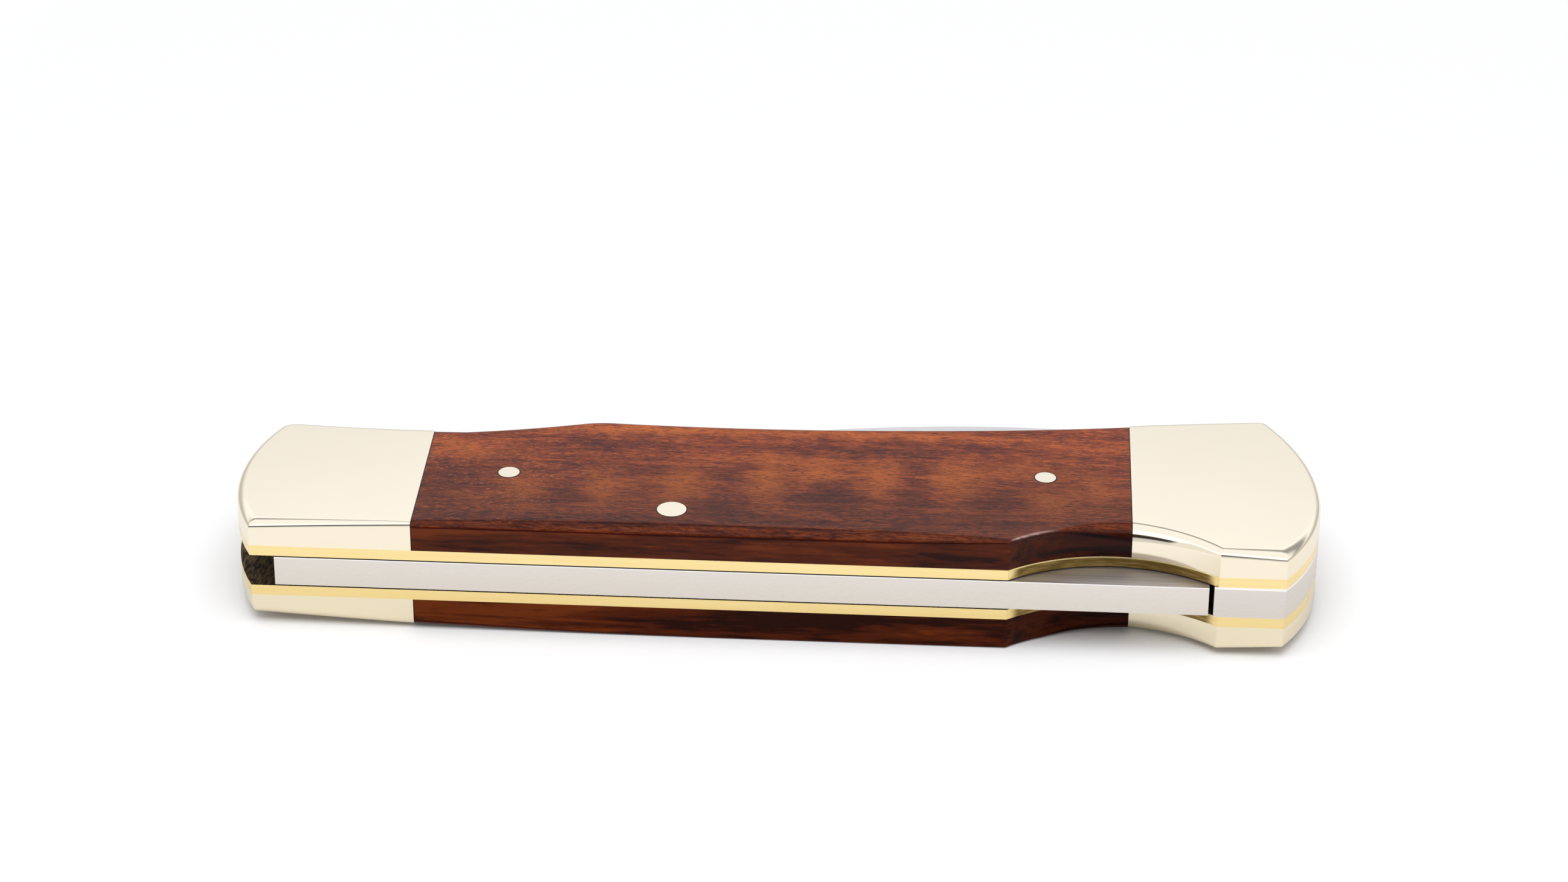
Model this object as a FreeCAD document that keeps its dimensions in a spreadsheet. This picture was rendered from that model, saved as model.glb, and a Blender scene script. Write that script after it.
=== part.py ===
import FreeCAD, Part
import math
import os
import Sketcher

# Lock-back folding knife, closed, lying on its lower side with the spine towards -Y.
# X runs from the front bolster to the butt, +Y from the spine to the belly, +Z up through
# the thickness. The origin is under the middle of the closed knife.
# All sizes are millimetres and degrees. A depth is measured from the spine towards the belly.

SIZES = {
    # Handle seen from the side
    "handle_length": 118.0,
    "front_bolster_length": 20.16,
    "rear_bolster_length": 20.54,
    "front_end_bow": 3.0,
    "front_end_lean": 0.7,
    "front_depth": 22.95,
    "valley_depth": 21.2,
    "hump_front_depth": 23.65,
    "hump_back_depth": 23.95,
    "waist_depth": 24.35,
    "flare_depth": 28.0,
    "butt_depth": 30.2,
    "front_belly_bow": 0.42,
    "valley_bow": 0.25,
    "hump_bow": 0.16,
    "waist_bow": 0.44,
    "flare_bow": 0.57,
    "butt_crest_depth": 13.0,
    "butt_spine_set": 4.09,
    "butt_belly_set": 5.39,
    "front_corner_radius": 2.0,
    "butt_corner_radius": 1.0,
    # Layers, from the outside to the middle
    "scale_thickness": 3.65,
    "liner_thickness": 1.2,
    "steel_thickness": 3.4,
    "side_clearance": 0.15,
    "swell_length": 44.0,
    "swell_drop": 1.05,
    # Thumb notch and outer edges
    "notch_lead": 1.95,
    "notch_depth": 3.7,
    "notch_length": 22.5,
    "edge_bevel": 0.4,
    "spine_bevel": 0.5,
    "notch_bevel": 0.9,
    # Pins
    "pivot_pin_diameter": 4.76,
    "lock_pin_diameter": 3.175,
    "scale_pin_diameter": 2.3,
    "bolster_pin_diameter": 2.3,
    "butt_pin_diameter": 3.175,
    "press_clearance": 0.01,
    "running_clearance": 0.03,
    "pivot_set": 10.96,
    "pivot_depth": 11.05,
    "lock_pin_set": 27.77,
    "lock_pin_depth": 4.47,
    "scale_pin_set": 9.37,
    "front_scale_pin_depth": 11.66,
    "rear_scale_pin_depth": 14.32,
    "bolster_pin_set": 5.2,
    "bolster_pin_inset": 5.5,
    "butt_pin_set": 5.6,
    "butt_pin_inset": 6.0,
    # Lock bar, its spring and the spacer behind it
    "bar_depth": 4.8,
    "bar_end_gap": 0.55,
    "boss_wall": 2.0,
    "neck_depth": 3.0,
    "neck_clearance": 0.2,
    "neck_length": 12.0,
    "tooth_clearance": 0.08,
    "lock_drop_angle": 1.6,
    "spacer_length": 11.7,
    "spring_thickness": 1.0,
    "spring_side_clearance": 0.2,
    "spring_seat_depth": 9.2,
    "spring_seat_length": 5.0,
    "spring_reach": 34.0,
    "spring_contact_gap": 0.05,
    "spring_bow": 0.8,
    # Blade, in its own frame: pivot at the origin, tip along +X, back along +Y
    "blade_lean_angle": 11.0,
    "point_clearance": 1.45,
    "back_radius": 114.0,
    "back_bend_length": 26.6,
    "clip_length": 13.3,
    "clip_hollow": 0.5,
    "point_drop": 12.85,
    "edge_offset": 7.0,
    "edge_curve_length": 35.3,
    "ricasso_length": 14.0,
    "bevel_width": 12.0,
    "bevel_hollow": 0.2,
    "edge_thickness": 0.3,
    "tang_clearance": 0.15,
    "nick_radius": 18.0,
    "nick_depth": 0.8,
    "nick_width": 2.2,
    "nick_set": 52.0,
    "nick_inset": 3.2,
    # Cuts run this far past the solid
    "overrun": 2.0,
}

# Places of the belly's turning points along the scale, as shares of the scale's length
valley_share = 0.046
hump_front_share = 0.212
hump_back_share = 0.2625
waist_share = 0.675
flare_share = 1.039
# Reach of the lock tooth ahead of the pivot, as shares of the tang's radius
tooth_front_share = 0.835
tooth_back_share = 0.38
# Start of the lock bar's slope behind the pivot, as a share of the tang's radius
neck_slope_share = 0.45
# Direction from the pivot of the tang's flat for the closed blade, and of the tang's lower end
flat_angle = 230.0
tang_end_angle = -80.0
# Slopes, as shares of upright, past which a face counts as a lying one or a standing one
lying_share = 0.9
standing_share = 0.1
# Two places nearer than this share of the handle's length count as one
near_share = 1e-5

doc = FreeCAD.newDocument("folding_knife")
sheet = doc.addObject("Spreadsheet::Sheet", "Sizes")


class Size:
    """A number together with the expression that gives it from the sheet's cells."""

    def __init__(self, value, text):
        self.value = value
        self.text = text

    def join(self, other, mark, value):
        return Size(value, "(" + self.text + " " + mark + " " + other.text + ")")

    def __add__(self, other):
        other = as_size(other)
        return self.join(other, "+", self.value + other.value)

    def __sub__(self, other):
        other = as_size(other)
        return self.join(other, "-", self.value - other.value)

    def __mul__(self, other):
        other = as_size(other)
        return self.join(other, "*", self.value * other.value)

    def __truediv__(self, other):
        other = as_size(other)
        return self.join(other, "/", self.value / other.value)

    def __radd__(self, other):
        return as_size(other) + self

    def __rsub__(self, other):
        return as_size(other) - self

    def __rmul__(self, other):
        return as_size(other) * self

    def __neg__(self):
        return Size(-self.value, "(-1 * " + self.text + ")")


def as_size(number):
    return number if isinstance(number, Size) else Size(float(number), repr(float(number)))


def root(size):
    return Size(math.sqrt(size.value), "sqrt(" + size.text + ")")


def sine(angle):
    return Size(math.sin(math.radians(angle.value)), "sin(" + angle.text + ")")


def cosine(angle):
    return Size(math.cos(math.radians(angle.value)), "cos(" + angle.text + ")")


def fill_sheet():
    cells = {}
    for row, (name, value) in enumerate(SIZES.items(), start=1):
        sheet.set("A%d" % row, name)
        sheet.set("B%d" % row, repr(value))
        sheet.setAlias("B%d" % row, name)
        cells[name] = Size(value, "Sizes." + name)
    doc.recompute()
    return cells


S = fill_sheet()
zero = as_size(0)
over = S["overrun"]
near = near_share * S["handle_length"].value

# Stations along X, from the middle of the handle
half_length = S["handle_length"] / 2
front_end = -half_length
rear_end = half_length
front_joint = front_end + S["front_bolster_length"]
rear_joint = rear_end - S["rear_bolster_length"]
scale_length = rear_joint - front_joint
spacer_front = rear_end - S["spacer_length"]
bar_rear = spacer_front - S["bar_end_gap"]
pivot_x = front_end + S["pivot_set"]
lock_pin_x = front_joint + S["lock_pin_set"]
notch_x = rear_joint - S["notch_lead"]

# Levels, from the middle plane of the blade
gap_half = S["steel_thickness"] / 2 + S["side_clearance"]
liner_top = gap_half + S["liner_thickness"]
side_top = liner_top + S["scale_thickness"]
crown_half = half_length - S["swell_length"]
swell_radius = (S["swell_length"] * S["swell_length"] + S["swell_drop"] * S["swell_drop"]) \
    / (2 * S["swell_drop"])
notch_radius = (S["notch_length"] * S["notch_length"] / 4 + S["notch_depth"] * S["notch_depth"]) \
    / (2 * S["notch_depth"])

# Tang and tooth: the neck of the bar passes over the round tang with the tooth dropped home
arm = lock_pin_x - pivot_x
tang_radius = S["pivot_depth"] - S["neck_depth"] - S["neck_clearance"] - arm * sine(S["lock_drop_angle"])
tooth_radius = tang_radius + S["tooth_clearance"]
tooth_front = tooth_front_share * tang_radius
tooth_back = tooth_back_share * tang_radius
bar_front = pivot_x - tooth_front
tooth_front_rise = root(tooth_radius * tooth_radius - tooth_front * tooth_front)
tooth_back_rise = root(tooth_radius * tooth_radius - tooth_back * tooth_back)
front_drop = (arm + tooth_front) * sine(S["lock_drop_angle"])
back_drop = (arm + tooth_back) * sine(S["lock_drop_angle"])

# Blade: it ends short of the spacer when closed. Its back is straight, then bent down to the clip,
# and its crest sets the closed knife's depth over all
back_offset = S["pivot_depth"]
back_radius = S["back_radius"]
tip_rise = back_offset - S["point_drop"]
closed_run = spacer_front - S["point_clearance"] - pivot_x
blade_length = (closed_run + tip_rise * sine(S["blade_lean_angle"])) / cosine(S["blade_lean_angle"])
clip_start = blade_length - S["clip_length"]
bend_start = clip_start - S["back_bend_length"]
bend_drop = back_radius - root(back_radius * back_radius - S["back_bend_length"] * S["back_bend_length"])
closed_depth = S["pivot_depth"] + bend_start * sine(S["blade_lean_angle"]) \
    + (back_offset - back_radius) * cosine(S["blade_lean_angle"]) + back_radius


def new_body(label, x=zero, depth=zero):
    """A body whose own origin lies on the blade's middle plane, at x and depth on the handle."""
    body = doc.addObject("PartDesign::Body", label)
    body.Label = label
    body.setExpression("Placement.Base.x", x.text)
    body.setExpression("Placement.Base.y", (depth - closed_depth / 2).text)
    body.setExpression("Placement.Base.z", side_top.text)
    return body


def new_sketch(body, name, role="XY_Plane", x=zero, y=zero, level=zero):
    """A sketch on one of the body's own planes, shifted in that plane and along its normal."""
    sketch = body.newObject("Sketcher::SketchObject", body.Name + "_" + name)
    plane = [item for item in body.Origin.OriginFeatures if item.Role == role][0]
    sketch.AttachmentSupport = [(plane, "")]
    sketch.MapMode = "FlatFace"
    sketch.setExpression("AttachmentOffset.Base.x", x.text)
    sketch.setExpression("AttachmentOffset.Base.y", y.text)
    sketch.setExpression("AttachmentOffset.Base.z", level.text)
    return sketch


def bow_radius(start, end, bow):
    """Radius of the arc from start to end whose middle stands off the chord by bow."""
    run = end[0] - start[0]
    rise = end[1] - start[1]
    return ((run * run + rise * rise) / 4 + bow * bow) / (2 * bow)


def tie(sketch, kind, size, *ends):
    index = sketch.addConstraint(Sketcher.Constraint(kind, *ends, size.value))
    sketch.setExpression("Constraints[%d]" % index, size.text)


def arc_geometry(start, end, radius, turn):
    """Arc under a half circle from start to end; turn is 1 anticlockwise and -1 clockwise."""
    chord = end - start
    normal = FreeCAD.Vector(-chord.y, chord.x, 0) / chord.Length
    reach = math.sqrt(radius * radius - chord.Length * chord.Length / 4)
    centre = (start + end) / 2 + normal * (reach * turn)
    first, last = (start, end) if turn > 0 else (end, start)
    angle = math.atan2(first.y - centre.y, first.x - centre.x)
    sweep = math.atan2(last.y - centre.y, last.x - centre.x)
    if sweep < angle:
        sweep = sweep + 2 * math.pi
    return Part.ArcOfCircle(Part.Circle(centre, FreeCAD.Vector(0, 0, 1), radius), angle, sweep)


def draw(sketch, points, arcs=None, closed=True):
    """Lines and arcs through points; arcs maps the number of a stretch to (radius, turn)."""
    arcs = arcs or {}
    spots = [FreeCAD.Vector(x.value, y.value, 0) for x, y in points]
    count = len(points) if closed else len(points) - 1
    pieces = []
    for number in range(count):
        start = spots[number]
        end = spots[(number + 1) % len(spots)]
        if number in arcs:
            radius, turn = arcs[number]
            geometry = arc_geometry(start, end, radius.value, turn)
            ends = (1, 2) if turn > 0 else (2, 1)
        else:
            geometry = Part.LineSegment(start, end)
            ends = (1, 2)
        pieces.append((sketch.addGeometry(geometry), ends))
    for number in range(count if closed else count - 1):
        this, these_ends = pieces[number]
        following, next_ends = pieces[(number + 1) % len(pieces)]
        link = Sketcher.Constraint("Coincident", this, these_ends[1], following, next_ends[0])
        sketch.addConstraint(link)
    for number, (x, y) in enumerate(points):
        piece, ends = pieces[min(number, len(pieces) - 1)]
        end = ends[0] if number < len(pieces) else ends[1]
        tie(sketch, "DistanceX", x, -1, 1, piece, end)
        tie(sketch, "DistanceY", y, -1, 1, piece, end)
    for number, (radius, turn) in arcs.items():
        tie(sketch, "Radius", radius, pieces[number][0])


def draw_circle(sketch, x, y, radius):
    centre = FreeCAD.Vector(x.value, y.value, 0)
    piece = sketch.addGeometry(Part.Circle(centre, FreeCAD.Vector(0, 0, 1), radius.value))
    tie(sketch, "DistanceX", x, -1, 1, piece, 3)
    tie(sketch, "DistanceY", y, -1, 1, piece, 3)
    tie(sketch, "Radius", radius, piece)


def pad(body, sketch, thickness):
    feature = body.newObject("PartDesign::Pad", sketch.Name + "_pad")
    feature.Profile = sketch
    feature.setExpression("Length", thickness.text)
    doc.recompute()
    return feature


def pocket(body, sketch):
    """Cut through everything on both sides of the sketch, and see that it cut."""
    before = body.Shape.Volume
    feature = body.newObject("PartDesign::Pocket", sketch.Name + "_pocket")
    feature.Profile = sketch
    feature.Type = "ThroughAll"
    feature.SideType = "Symmetric"
    doc.recompute()
    if body.Shape.Volume >= before:
        raise RuntimeError(feature.Name + " cut nothing")
    return feature


def fillet(body, edges, radius):
    solid = body.Tip
    feature = body.newObject("PartDesign::Fillet", body.Name + "_round%d" % len(body.Group))
    feature.Base = (solid, edges)
    feature.setExpression("Radius", radius.text)
    doc.recompute()
    return feature


def outline():
    """The handle's outline: points and arcs, clockwise from the front end of the spine."""
    nose = front_end + S["front_end_bow"]
    points = [
        (nose - S["front_end_lean"] / 2, zero),
        (nose + S["front_end_lean"] / 2, S["front_depth"]),
        (front_joint + valley_share * scale_length, S["valley_depth"]),
        (front_joint + hump_front_share * scale_length, S["hump_front_depth"]),
        (front_joint + hump_back_share * scale_length, S["hump_back_depth"]),
        (front_joint + waist_share * scale_length, S["waist_depth"]),
        (front_joint + flare_share * scale_length, S["flare_depth"]),
        (rear_end - S["butt_belly_set"], S["butt_depth"]),
        (rear_end, S["butt_crest_depth"]),
        (rear_end - S["butt_spine_set"], zero),
    ]
    bows = [(0, "front_end_bow", -1), (1, "front_belly_bow", 1), (2, "valley_bow", 1),
            (3, "hump_bow", -1), (4, "waist_bow", 1), (5, "flare_bow", 1)]
    arcs = {}
    for number, bow, turn in bows:
        arcs[number] = (bow_radius(points[number], points[number + 1], S[bow]), turn)
    belly_run = S["butt_depth"] - S["butt_crest_depth"]
    belly_set = S["butt_belly_set"]
    spine_set = S["butt_spine_set"]
    crest = S["butt_crest_depth"]
    arcs[7] = ((belly_run * belly_run + belly_set * belly_set) / (2 * belly_set), -1)
    arcs[8] = ((crest * crest + spine_set * spine_set) / (2 * spine_set), -1)
    return points, arcs


def upright_edges(shape, x, depth):
    """Names of the upright edges that stand at x and depth."""
    found = []
    for number, edge in enumerate(shape.Edges, start=1):
        low, high = edge.Vertexes[0].Point, edge.Vertexes[-1].Point
        upright = abs(low.x - high.x) + abs(low.y - high.y) < near
        here = abs(low.x - x.value) + abs(low.y - depth.value) < near
        if upright and here and abs(low.z - high.z) > near:
            found.append("Edge%d" % number)
    return found


def slab(label, level, thickness, holes):
    """A layer with the handle's outline and rounded belly corners, from level upwards."""
    body = new_body(label)
    sketch = new_sketch(body, "outline", level=level)
    points, arcs = outline()
    draw(sketch, points, arcs)
    for x, depth, radius in holes:
        draw_circle(sketch, x, depth, radius)
    pad(body, sketch, thickness)
    for corner, radius in ((1, "front_corner_radius"), (7, "butt_corner_radius")):
        edges = upright_edges(body.Tip.Shape, *points[corner])
        fillet(body, edges, S[radius])
    return body


def saw_off(body, start, end):
    """Take off everything between two stations along the handle."""
    sketch = new_sketch(body, "saw%d" % len(body.Group))
    low, high = -over, S["butt_depth"] + over
    draw(sketch, [(start, low), (end, low), (end, high), (start, high)])
    pocket(body, sketch)


def cut_notch(body):
    sketch = new_sketch(body, "notch")
    draw_circle(sketch, notch_x, S["notch_depth"] - notch_radius, notch_radius)
    pocket(body, sketch)


def crown(body, side):
    """Grind the outer side to its flat crown and the long swells to both ends."""
    sketch = new_sketch(body, "swell", role="XZ_Plane")
    reach = half_length + over
    run = reach - crown_half
    fall = swell_radius - root(swell_radius * swell_radius - run * run)
    points = [(-reach, side_top - fall), (-crown_half, side_top), (crown_half, side_top),
              (reach, side_top - fall), (reach, side_top + over), (-reach, side_top + over)]
    turn = -side
    draw(sketch, [(x, side * z) for x, z in points], {0: (swell_radius, turn), 2: (swell_radius, turn)})
    pocket(body, sketch)


def hole(x, depth, diameter, clearance="press_clearance"):
    return (x, depth, S[diameter] / 2 + S[clearance])


pivot_hole = hole(pivot_x, S["pivot_depth"], "pivot_pin_diameter")
lock_hole = hole(lock_pin_x, S["lock_pin_depth"], "lock_pin_diameter")
front_scale_hole = hole(front_joint + S["scale_pin_set"], S["front_scale_pin_depth"], "scale_pin_diameter")
rear_scale_hole = hole(rear_joint - S["scale_pin_set"], S["rear_scale_pin_depth"], "scale_pin_diameter")
fore_pin_depth = S["front_depth"] - S["bolster_pin_inset"]
bolster_holes = [
    hole(front_end + S["bolster_pin_set"], fore_pin_depth, "bolster_pin_diameter"),
    hole(front_joint - S["bolster_pin_set"], S["bolster_pin_inset"], "bolster_pin_diameter"),
]
butt_holes = [
    hole(rear_end - S["butt_pin_set"], S["butt_pin_inset"], "butt_pin_diameter"),
    hole(rear_end - S["butt_pin_set"], S["butt_depth"] - S["butt_pin_inset"], "butt_pin_diameter"),
]
front_holes = [pivot_hole] + bolster_holes
scale_holes = [lock_hole, front_scale_hole, rear_scale_hole]


def outer_edges(shape, side):
    """Numbers of the edges where the outer side meets the walls, apart from joints and holes."""
    joints = (front_joint.value, rear_joint.value)
    found = []
    for number, edge in enumerate(shape.Edges, start=1):
        faces = shape.ancestorsOfType(edge, Part.Face)
        slopes = [abs(face.normalAt(*middle(face)).z) for face in faces]
        if len(faces) != 2 or max(slopes) < lying_share or min(slopes) > standing_share:
            continue
        box = edge.BoundBox
        at_joint = any(abs(box.XMin - x) < near and abs(box.XMax - x) < near for x in joints)
        if at_joint or edge.isClosed() or box.Center.z * side < liner_top.value + near:
            continue
        found.append(number)
    return found


def middle(face):
    first_u, last_u, first_v, last_v = face.ParameterRange
    return (first_u + last_u) / 2, (first_v + last_v) / 2


def break_outside(label, blank, side):
    """Bevel the outer edges, wider along the spine and widest in the thumb notch."""
    bevelled = doc.addObject("Part::Chamfer", label)
    bevelled.Label = label
    bevelled.Base = blank
    shape = in_body_frame(blank, blank.Shape)
    edges = []
    for number in outer_edges(shape, side):
        leg = bevel_leg(shape.Edges[number - 1])
        edges.append((number, leg, leg))
    bevelled.Edges = edges
    doc.recompute()
    return bevelled


def in_body_frame(body, shape):
    """A copy of the shape, moved to the frame that the body's sketches are drawn in."""
    moved = shape.copy()
    moved.translate(body.Placement.Base * -1)
    return moved


def bevel_leg(edge):
    """Leg of an outer edge's bevel, by where the edge lies."""
    spot = edge.CenterOfMass
    if spot.y > S["notch_depth"].value:
        return S["edge_bevel"].value
    in_notch = abs(spot.x - notch_x.value) < S["notch_length"].value / 2
    return S["notch_bevel"].value if in_notch else S["spine_bevel"].value


def side_piece(label, side, holes, cuts, notched):
    """A scale or bolster: the handle's outline, crowned, sawn to its stretch and bevelled."""
    thick = S["scale_thickness"] + over
    level = liner_top if side > 0 else -(liner_top + thick)
    blank = slab(label + "_blank", level, thick, holes)
    crown(blank, side)
    for start, end in cuts:
        saw_off(blank, start, end)
    if notched:
        cut_notch(blank)
    return break_outside(label, blank, side)


def liner(label, side):
    level = gap_half if side > 0 else -liner_top
    body = slab(label, level, S["liner_thickness"], front_holes + scale_holes + butt_holes)
    cut_notch(body)
    return body


def pin(label, place, diameter, low, high):
    """A round pin from level low to level high; ends past the liners are ground to the crown."""
    x, depth = place[:2]
    body = new_body(label)
    bottom = low - over if low.value < -liner_top.value else low
    top = high + over if high.value > liner_top.value else high
    sketch = new_sketch(body, "section", level=bottom)
    draw_circle(sketch, x, depth, S[diameter] / 2)
    pad(body, sketch, top - bottom)
    for side, outside in ((1, top is not high), (-1, bottom is not low)):
        if outside:
            crown(body, side)
    return body


def rear_spacer():
    """The steel block between the liners at the butt, slotted for the lock spring."""
    body = slab("rear_spacer", -gap_half, 2 * gap_half, butt_holes)
    saw_off(body, front_end - over, spacer_front)
    sketch = new_sketch(body, "spring_slot")
    fit = S["press_clearance"]
    half_slot = S["spring_thickness"] / 2 + fit
    end = spacer_front + S["spring_seat_length"] + fit
    top, bottom = S["spring_seat_depth"] - half_slot, S["spring_seat_depth"] + half_slot
    start = spacer_front - over
    draw(sketch, [(start, top), (end, top), (end, bottom), (start, bottom)])
    pocket(body, sketch)
    return body


def lock_spring():
    """A flat spring held in the spacer's slot, bent up to bear on the lock bar."""
    body = new_body("lock_spring")
    half_width = S["steel_thickness"] / 2 - S["spring_side_clearance"]
    sketch = new_sketch(body, "side", level=-half_width)
    half_leaf = S["spring_thickness"] / 2
    tail = spacer_front + S["spring_seat_length"]
    tip = spacer_front - S["spring_reach"]
    tip_top = S["bar_depth"] + S["spring_contact_gap"]
    tip_bottom = tip_top + S["spring_thickness"]
    seat_top, seat_bottom = S["spring_seat_depth"] - half_leaf, S["spring_seat_depth"] + half_leaf
    points = [(tail, seat_top), (spacer_front, seat_top), (tip, tip_top),
              (tip, tip_bottom), (spacer_front, seat_bottom), (tail, seat_bottom)]
    bow = S["spring_bow"]
    arcs = {1: (bow_radius(points[1], points[2], bow), 1), 3: (bow_radius(points[3], points[4], bow), -1)}
    draw(sketch, points, arcs)
    pad(body, sketch, 2 * half_width)
    return body


def lock_bar():
    """The rocking bar along the spine: tooth and thin neck in front, round boss at its pin."""
    body = new_body("lock_bar")
    sketch = new_sketch(body, "side", level=-(S["steel_thickness"] / 2))
    depth = S["bar_depth"]
    boss = S["lock_pin_diameter"] / 2 + S["boss_wall"]
    sink = depth - S["lock_pin_depth"]
    boss_half = root(boss * boss - sink * sink)
    tooth_back_x = pivot_x - tooth_back
    points = [
        (bar_front, zero),
        (bar_front, S["pivot_depth"] - tooth_front_rise),
        (tooth_back_x, S["pivot_depth"] - tooth_back_rise),
        (tooth_back_x, S["neck_depth"]),
        (pivot_x + neck_slope_share * tang_radius, S["neck_depth"]),
        (pivot_x + S["neck_length"], depth),
        (lock_pin_x - boss_half, depth),
        (lock_pin_x + boss_half, depth),
        (bar_rear, depth),
        (bar_rear, zero),
    ]
    draw(sketch, points, {1: (tooth_radius, 1), 6: (boss, -1)})
    bore = S["lock_pin_diameter"] / 2 + S["running_clearance"]
    draw_circle(sketch, lock_pin_x, S["lock_pin_depth"], bore)
    pad(body, sketch, S["steel_thickness"])
    return body


def on_tang(angle):
    return tang_radius * cosine(angle), tang_radius * sine(angle)


def blade_outline():
    """Back, clip, edge, ricasso, round tang with its closing flat, and the lock notch."""
    play = S["tang_clearance"]
    shoulder = tooth_front + play
    wall = tooth_back - play
    edge_start = blade_length - S["edge_curve_length"]
    lean = S["blade_lean_angle"]
    flat = as_size(flat_angle)
    flat_set = -(tooth_back * cosine(flat)) - (tooth_back_rise - back_drop) * sine(flat) - 2 * play
    flat_half = root(tang_radius * tang_radius - flat_set * flat_set)
    across, along = cosine(flat - lean), sine(flat - lean)
    points = [
        (shoulder, back_offset),
        (bend_start, back_offset),
        (clip_start, back_offset - bend_drop),
        (blade_length, tip_rise),
        (edge_start, -S["edge_offset"]),
        (S["ricasso_length"], -S["edge_offset"]),
        on_tang(as_size(tang_end_angle)),
        (flat_set * across - flat_half * along, flat_set * along + flat_half * across),
        (flat_set * across + flat_half * along, flat_set * along - flat_half * across),
        (wall, root(tang_radius * tang_radius - wall * wall)),
        (wall, tooth_back_rise - back_drop - 2 * play),
        (shoulder, tooth_front_rise - front_drop - 2 * play),
    ]
    clip_radius = bow_radius(points[2], points[3], S["clip_hollow"])
    arcs = {1: (back_radius, -1), 2: (clip_radius, 1), 3: (edge_curve_radius(), -1),
            6: (tang_radius, -1), 8: (tang_radius, -1)}
    return points, arcs


def edge_curve_radius():
    """Radius of the curved stretch of edge that runs up to the tip."""
    rise = tip_rise + S["edge_offset"]
    run = S["edge_curve_length"]
    return (run * run + rise * rise) / (2 * rise)


def grind(body):
    """Hollow-grind both sides: one section carried along the edge past the tip, then mirrored."""
    tip, edge_start, ricasso = blade_outline()[0][3:6]
    path = new_sketch(body, "edge_path")
    radius = edge_curve_radius()
    lift = S["edge_curve_length"] / radius
    level_share = root(1 - lift * lift)
    beyond = (tip[0] + over * level_share, tip[1] + over * lift)
    draw(path, [ricasso, edge_start, tip, beyond], {1: (radius, 1)}, closed=False)
    section = new_sketch(body, "bevel", role="YZ_Plane", level=S["ricasso_length"])
    half = S["steel_thickness"] / 2
    foot = -S["edge_offset"]
    rise = S["edge_thickness"] / 2
    grind_line = foot + S["bevel_width"]
    corners = [(foot, rise), (grind_line, half), (grind_line, half + over),
               (foot - over, half + over), (foot - over, rise)]
    draw(section, corners, {0: (bow_radius(corners[0], corners[1], S["bevel_hollow"]), 1)})
    before = body.Shape.Volume
    sweep = body.newObject("PartDesign::SubtractivePipe", "blade_bevel_sweep")
    sweep.Profile = section
    sweep.Spine = (path, ["Edge1", "Edge2", "Edge3"])
    doc.recompute()
    mirror = body.newObject("PartDesign::Mirrored", "blade_bevel_mirror")
    mirror.Originals = [sweep]
    mirror.MirrorPlane = ([item for item in body.Origin.OriginFeatures if item.Role == "XY_Plane"][0], [""])
    body.Tip = mirror
    doc.recompute()
    if body.Shape.Volume >= before:
        raise RuntimeError("the bevels cut nothing")


def nail_nick(body):
    """A crescent nick in the lower side near the back, as a round cutter leaves it."""
    axis_level = S["steel_thickness"] / 2 + S["nick_radius"] - S["nick_depth"]
    top = back_offset - S["nick_inset"]
    sketch = new_sketch(body, "nick", role="YZ_Plane", y=-axis_level, level=S["nick_set"])
    reach, depth = S["nick_radius"], S["nick_depth"]
    width = S["nick_width"]
    draw(sketch, [(top - width, zero), (top, zero), (top, reach - depth), (top - width, reach)])
    before = body.Shape.Volume
    groove = body.newObject("PartDesign::Groove", "blade_nick_groove")
    groove.Profile = sketch
    groove.ReferenceAxis = (sketch, ["H_Axis"])
    groove.Angle = 360
    doc.recompute()
    if body.Shape.Volume >= before:
        raise RuntimeError("the nail nick cut nothing")


def blade():
    body = new_body("blade", pivot_x, S["pivot_depth"])
    body.setExpression("Placement.Rotation.Angle", S["blade_lean_angle"].text)
    sketch = new_sketch(body, "side", level=-(S["steel_thickness"] / 2))
    draw(sketch, *blade_outline())
    draw_circle(sketch, zero, zero, S["pivot_pin_diameter"] / 2 + S["running_clearance"])
    pad(body, sketch, S["steel_thickness"])
    grind(body)
    nail_nick(body)
    return body


def build():
    nodes = [blade(), lock_bar(), lock_spring(), rear_spacer()]
    past_front, past_rear = front_end - over, rear_end + over
    for name, side in (("upper", 1), ("lower", -1)):
        nodes.append(liner(name + "_liner", side))
        front_cut, rear_cut = (past_front, front_joint), (rear_joint, past_rear)
        nodes.append(side_piece(name + "_scale", side, scale_holes, [front_cut, rear_cut], True))
        behind = [(front_joint, past_rear)]
        nodes.append(side_piece(name + "_front_bolster", side, front_holes, behind, False))
        ahead = [(past_front, rear_joint)]
        nodes.append(side_piece(name + "_rear_bolster", side, butt_holes, ahead, True))
        low, high = (gap_half, side_top) if side > 0 else (-side_top, -gap_half)
        nodes.append(pin(name + "_front_scale_pin", front_scale_hole, "scale_pin_diameter", low, high))
        nodes.append(pin(name + "_rear_scale_pin", rear_scale_hole, "scale_pin_diameter", low, high))
        for end, place in zip(("fore", "aft"), bolster_holes):
            label = name + "_bolster_" + end + "_pin"
            nodes.append(pin(label, place, "bolster_pin_diameter", low, high))
    nodes.append(pin("blade_pivot_pin", pivot_hole, "pivot_pin_diameter", -side_top, side_top))
    nodes.append(pin("lock_bar_pin", lock_hole, "lock_pin_diameter", -side_top, side_top))
    for end, place in zip(("spine", "belly"), butt_holes):
        nodes.append(pin("butt_" + end + "_pin", place, "butt_pin_diameter", -side_top, side_top))
    return nodes


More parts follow.
